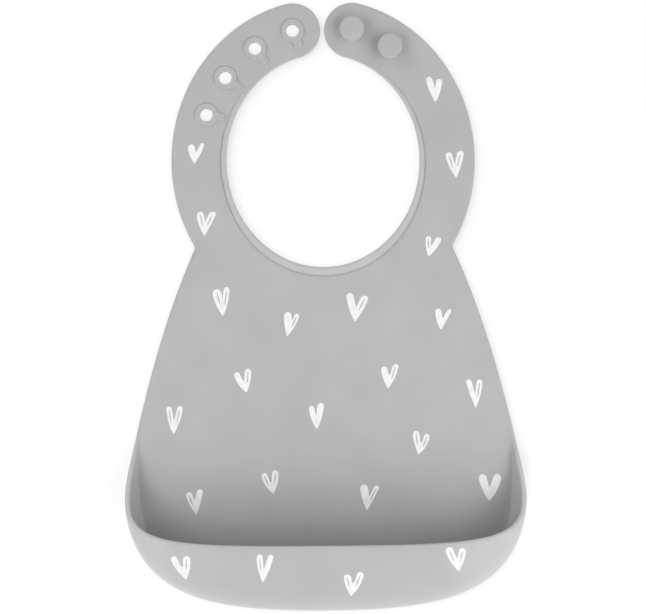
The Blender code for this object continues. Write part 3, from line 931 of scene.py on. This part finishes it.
heart = {
    "film": (0.05, 0.09),   # mm, ink over the silicone, left and right drop
    "broad": 1.01,          # what the drops gain over their measured width, for the film's thin edges
    "slit": 0.6,            # pixels, half width of a bare slit
    "wobble": 0.06,         # unsteadiness of the hand that drew them
    "rampEnd": 0.7,         # share of a drop's length at which it is full width
    "rampPower": 0.9,       # lower makes its point blunter
    "endLength": 1.1,       # length of its round end over its half width
    "cleft": 0.45,          # share of its length at which the two drops part
    "cleftReach": 0.14,
    "cleftFill": 0.75,
    "slitSpan": (0.4, 0.48),   # start and length of a slit, as shares of the drop's length
    "sunk": 0.06,           # mm, foot of the film under the silicone
}
dropSteps = 48
bowColumn, slitColumn = 8, 10


def heartDrops(rows, seed):
    # a drop is sin(90 degrees * a / ramp end)^power wide at the share a of its axis, so it starts in a
    # point, and ends in a half circle as wide as itself; its axis bows out by 4 a (1 - a) of its bow, and
    # below the cleft its inner side reaches over the middle
    draw = np.random.default_rng(seed)
    rows = np.asarray(rows, float)
    spread = np.linalg.norm(rows[:, 2:4] - rows[:, 4:6], axis=1)[:, None]
    t = np.linspace(0, 2 * math.pi, dropSteps + 1)[:-1]
    share = (1 - np.cos(t)) / 2
    side = np.where(t < math.pi, 1, -1) * (share > 0) * (share < 1 - 1e-9)
    outlines, slits, isOpen = [], [], []
    for drop in range(2):
        point = rows[:, None, :2]
        axis = rows[:, None, 2 + 2 * drop:4 + 2 * drop] - point
        length = np.linalg.norm(axis, axis=-1)
        across = np.stack([-axis[..., 1], axis[..., 0]], -1) / length[..., None]
        wide = rows[:, 6 + drop, None] / 2 * heart["broad"]
        turn = draw.random((len(rows), 2)) * 2 * math.pi
        wobble = 1 + heart["wobble"] * np.sin(t + turn[:, :1]) * np.sin(2 * t + turn[:, 1:])
        roundStart = 1 - heart["endLength"] * wide / length
        end = np.clip((share - roundStart) / (1 - roundStart), 0, 1)
        ramp = np.sin(np.clip(share / heart["rampEnd"], 0, 1) * math.pi / 2) ** heart["rampPower"]
        reach = wide * ramp * np.sqrt(1 - end**2) * wobble
        joined = 1 - ease((share - heart["cleft"]) / heart["cleftReach"])
        inner = heart["cleftFill"] * share * spread * joined
        inward = 1 - 2 * drop
        bow = -inward * 4 * rows[:, bowColumn + drop, None]
        reach = np.where(side == inward, np.maximum(reach, inner), reach) * side + bow * share * (1 - share)
        outlines.append(point + axis * share[:, None] + across * reach[..., None])
        opened = (rows[:, slitColumn].astype(int) >> drop) & 1
        slitStart, slitLength = heart["slitSpan"]
        part = slitStart + slitLength * share
        reach = heart["slit"] * np.sin(t) * opened[:, None] + bow * part * (1 - part)
        slits.append(point + axis * part[:, None] + across * reach[..., None])
        isOpen.append(opened.astype(bool))
    return np.stack(outlines), np.stack(slits), np.stack(isOpen)


def filmBlocks(outline, slit, isOpen, place):
    # film over each drop: foot, top edge, middle, inner edge and inner foot, as loops round the drop
    share = np.array([0, 0.1, 0.5, 0.9, 1, 1])[:, None, None]
    blocks = []
    for side in range(2):
        thick = heart["film"][side]
        level = np.array([-heart["sunk"], thick, thick, thick, thick, -heart["sunk"]])
        for k in range(outline.shape[1]):
            pixels = outline[side, k] * (1 - share) + slit[side, k] * share
            points = place(pixels, level[:, None])
            rings, steps = points.shape[:2]
            quads = loopFaces(rings, steps)
            if not isOpen[side, k]:
                quads = quads[:(rings - 2) * steps]
            under = np.arange(steps)
            after = (under + 1) % steps
            last = (rings - 1) * steps
            quads = np.concatenate([quads, np.stack([last + under, last + after, after, under], -1)])
            blocks.append((points, quads))
    return blocks


def onSheet(pixels, level):
    # a pixel taken back to the top of the sheet, and raised by its level
    flat = fromPicture(pixels, np.full(pixels.shape[:-1], thickness))
    return np.concatenate([flat, np.broadcast_to(thickness + level, pixels.shape[:-1])[..., None]], -1)


def onPocketFront(pixels, level):
    # Newton's rule on the wall's two parameters until the outer face lies under the pixel
    middle = view["imageSize"][0] / 2
    side = np.sign(pixels[..., :1].mean() - middle)
    railLength = 520        # pixels, first guess
    u = 1 - np.abs(pixels[..., 0] - middle) / railLength
    v = np.full(pixels.shape[:-1], pocket["lipStart"])

    def miss(u, v):
        outer = pocketMiddle(u, v) - pocketWays(u, v)[2] * pocketHalf(u, v)[..., None]
        outer[..., 0] *= side
        return outer[..., :2] - fromPicture(pixels, outer[..., 2])

    step, longest, rounds = 1e-3, 0.06, 25
    for _ in range(rounds):
        now = miss(u, v)
        du, dv = (miss(u + step, v) - now) / step, (miss(u, v + step) - now) / step
        area = du[..., 0] * dv[..., 1] - du[..., 1] * dv[..., 0]
        u = u - np.clip((now[..., 0] * dv[..., 1] - now[..., 1] * dv[..., 0]) / area, -longest, longest)
        v = v - np.clip((du[..., 0] * now[..., 1] - du[..., 1] * now[..., 0]) / area, -longest, longest)
    print("print on the pocket lies within", float(np.abs(miss(u, v)).max()), "mm, up to", float(v.max()))
    normal = pocketWays(u, v)[2]
    points = pocketMiddle(u, v) - normal * (pocketHalf(u, v) + level)[..., None]
    points[..., 0] *= side
    return points


def makeHearts():
    groups = [("front", frontHearts, onSheet, 3), ("hole_strap", holeStrapHearts, onSheet, 5),
              ("stud_strap", studStrapHearts, onSheet, 7), ("pocket", pocketHearts, onPocketFront, 11)]
    for name, rows, place, seed in groups:
        blocks = filmBlocks(*heartDrops(rows, seed), place)
        piece = addPiece(f"heart_print_{name}", blocks, inkFinish, sharp=60)
        if name in ("hole_strap", "stud_strap"):
            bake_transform(piece)
        elif name == "front":
            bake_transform(piece)
        else:
            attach(piece, "pocket")


makePanel()
makePocket()
makeStrap("hole", -1, bead["leftEnd"], [0, pitch, 2 * pitch], [3 * pitch])
makeStrap("stud", 1, bead["rightEnd"], [], [])
makeCollars()
makeStuds()
makeHearts()

# Floor, light and camera

studio = {
    "floorHalf": 3.0,           # metres
    "floorDrop": 0.0004,
    "floorColour": "#F6F6F6",   # as it lights the bib
    "floorTint": "#787878",     # the lit part of what the eye sees
    "floorGlow": (0.84, 1.0),   # how much of the white behind shows through, near the bib and far away
    "floorFade": (0.5, 2.2),    # metres from the bib, between which the one turns into the other
    "shadowReach": 0.008,       # metres, thin drawn shadow that hugs the edges away from shadowSide
    "shadowSide": (-0.6, 0.6, 0.38),
    "shadowDepth": 0.35,
    "sky": 0.114,               # strength of the light from all round
    "boxDistance": 1.6,
    # ring of soft boxes: degrees round from the right, degrees up, size in metres and power in watts
    "boxes": {
        "rightBox": (0, 47, 0.9, 7.0),
        "backRightBox": (45, 25, 0.8, 3.3),
        "backLeftBox": (135, 25, 0.8, 5.4),
        "leftBox": (180, 47, 0.9, 5.9),
        "frontLeftBox": (225, 37, 1.3, 8.6),
        "frontRightBox": (315, 37, 1.3, 12.4),
    },
}
discSteps = 32


def floorFinish(name, shadowDepth):
    # matt and pale to the light. The eye looks through most of it to the white behind, so that what
    # swings below it at a joint's limit still shows, and sees on it the lit part and the thin shadow,
    # which is the share of the leaning side that is covered within its reach, times its depth.
    # Where that depth is nought the floor is opaque to the eye
    finish = bpy.data.materials.new(name)
    finish.use_nodes = True
    tree = finish.node_tree
    tree.nodes.remove(tree.nodes["Principled BSDF"])
    place = addNode(tree, "ShaderNodeTexCoord").outputs["Object"]
    distance = addNode(tree, "ShaderNodeVectorMath", {"operation": "LENGTH"}, links={"Vector": place})
    (near, far), (low, high) = studio["floorFade"], studio["floorGlow"]
    fade = addNode(tree, "ShaderNodeMapRange",
                   inputs={"From Min": near, "From Max": far, "To Min": low, "To Max": high},
                   links={"Value": distance.outputs["Value"]}).outputs["Result"]
    x, y, z = studio["shadowSide"]
    lean = addNode(tree, "ShaderNodeCombineXYZ", inputs={"X": x, "Y": y, "Z": z})
    hug = addNode(tree, "ShaderNodeAmbientOcclusion", {"samples": 8}, {"Distance": studio["shadowReach"]},
                  {"Normal": lean.outputs[0]})
    shadow = addNode(tree, "ShaderNodeMapRange", inputs={"To Min": 1 - shadowDepth, "To Max": 1},
                     links={"Value": hug.outputs["AO"]})
    shaded = addNode(tree, "ShaderNodeMath", {"operation": "MULTIPLY"},
                     links={0: fade, 1: shadow.outputs["Result"]})
    matt = addNode(tree, "ShaderNodeBsdfDiffuse", inputs={"Color": linear(studio["floorColour"])})
    dim = addNode(tree, "ShaderNodeBsdfDiffuse", inputs={"Color": linear(studio["floorTint"])})
    glow = addNode(tree, "ShaderNodeEmission", links={"Strength": fade})
    veil = addNode(tree, "ShaderNodeBsdfTransparent", links={"Color": shaded.outputs[0]})
    clear = addNode(tree, "ShaderNodeBsdfTransparent")
    white = addNode(tree, "ShaderNodeAddShader", links={0: dim.outputs[0], 1: glow.outputs[0]})
    veiled = addNode(tree, "ShaderNodeAddShader", links={0: dim.outputs[0], 1: veil.outputs[0]})
    rays = addNode(tree, "ShaderNodeLightPath").outputs
    look = matt
    for ray, shader in (("Is Glossy Ray", white), ("Is Transmission Ray", white),
                        ("Is Camera Ray", veiled if shadowDepth else white), ("Is Shadow Ray", clear)):
        links = {0: rays[ray], 1: look.outputs[0], 2: shader.outputs[0]}
        look = addNode(tree, "ShaderNodeMixShader", links=links)
    tree.links.new(look.outputs[0], tree.nodes["Material Output"].inputs["Surface"])
    return finish


def makeFloor():
    # one sheet of floor, and on it the discs that show through the button holes, which keep no thin shadow
    h, drop = studio["floorHalf"], studio["floorDrop"]
    corners = np.array([(-h, -h, -drop), (h, -h, -drop), (h, h, -drop), (-h, h, -drop)])
    turn = np.linspace(0, 2 * math.pi, discSteps + 1)[:-1]
    circle = np.stack([np.cos(turn), np.sin(turn), 0 * turn], -1) * collar["radius"]
    holes = np.arange(len(collar["tongueTurns"]))
    centres = ringPoint(angleBelowTip(holes * pitch), 0) * (-1, 1)
    discs = toWorld(np.pad(centres, ((0, 0), (0, 1)))[:, None] + circle) - (0, 0, drop / 2)
    faces = [[0, 1, 2, 3]] + (holes[:, None] * discSteps + np.arange(discSteps) + len(corners)).tolist()
    mesh = bpy.data.meshes.new("floor")
    mesh.from_pydata(np.concatenate([corners, discs.reshape(-1, 3)]).tolist(), [], faces)
    mesh.materials.append(floorFinish("paleMattFloor", studio["shadowDepth"]))
    mesh.materials.append(floorFinish("paleMattFloorInHoles", 0))
    mesh.polygons.foreach_set("material_index", [0] + [1] * len(holes))
    floor = bpy.data.objects.new("floor", mesh)
    bpy.context.scene.collection.objects.link(floor)


def makeLight():
    world = bpy.data.worlds.new("softTent")
    world.use_nodes = True
    sky = world.node_tree.nodes["Background"]
    sky.inputs["Color"].default_value = (1, 1, 1, 1)
    # plain white where the camera looks past the floor or through it
    tree = world.node_tree
    path = addNode(tree, "ShaderNodeLightPath")
    strength = addNode(tree, "ShaderNodeMapRange", inputs={"To Min": studio["sky"], "To Max": 1},
                       links={"Value": path.outputs["Is Camera Ray"]})
    tree.links.new(strength.outputs["Result"], sky.inputs["Strength"])
    bpy.context.scene.world = world
    for name, (around, up, size, power) in studio["boxes"].items():
        around, up = math.radians(around), math.radians(up)
        lamp = bpy.data.lights.new(name, "AREA")
        lamp.energy = power
        lamp.size = size
        box = bpy.data.objects.new(name, lamp)
        way = np.array([math.cos(up) * math.cos(around), math.cos(up) * math.sin(around), math.sin(up)])
        box.location = way * studio["boxDistance"]
        box.rotation_euler = (math.pi / 2 - up, 0, around + math.pi / 2)
        bpy.context.scene.collection.objects.link(box)


def makeCamera():
    lens = bpy.data.cameras.new("camera")
    lens.sensor_width = view["sensor"]
    lens.lens = view["sensor"] * view["distance"] / (view["imageSize"][0] * view["scale"])
    camera = bpy.data.objects.new("camera", lens)
    camera.location = toWorld((*view["axisPlace"], view["distance"]))
    camera.rotation_euler = (0, 0, -view["turn"])
    bpy.context.scene.collection.objects.link(camera)
    bpy.context.scene.camera = camera
    bpy.context.scene.view_settings.view_transform = "Standard"


makeFloor()
makeLight()
makeCamera()
print("floor, light and camera set")

bpy.context.view_layer.update()
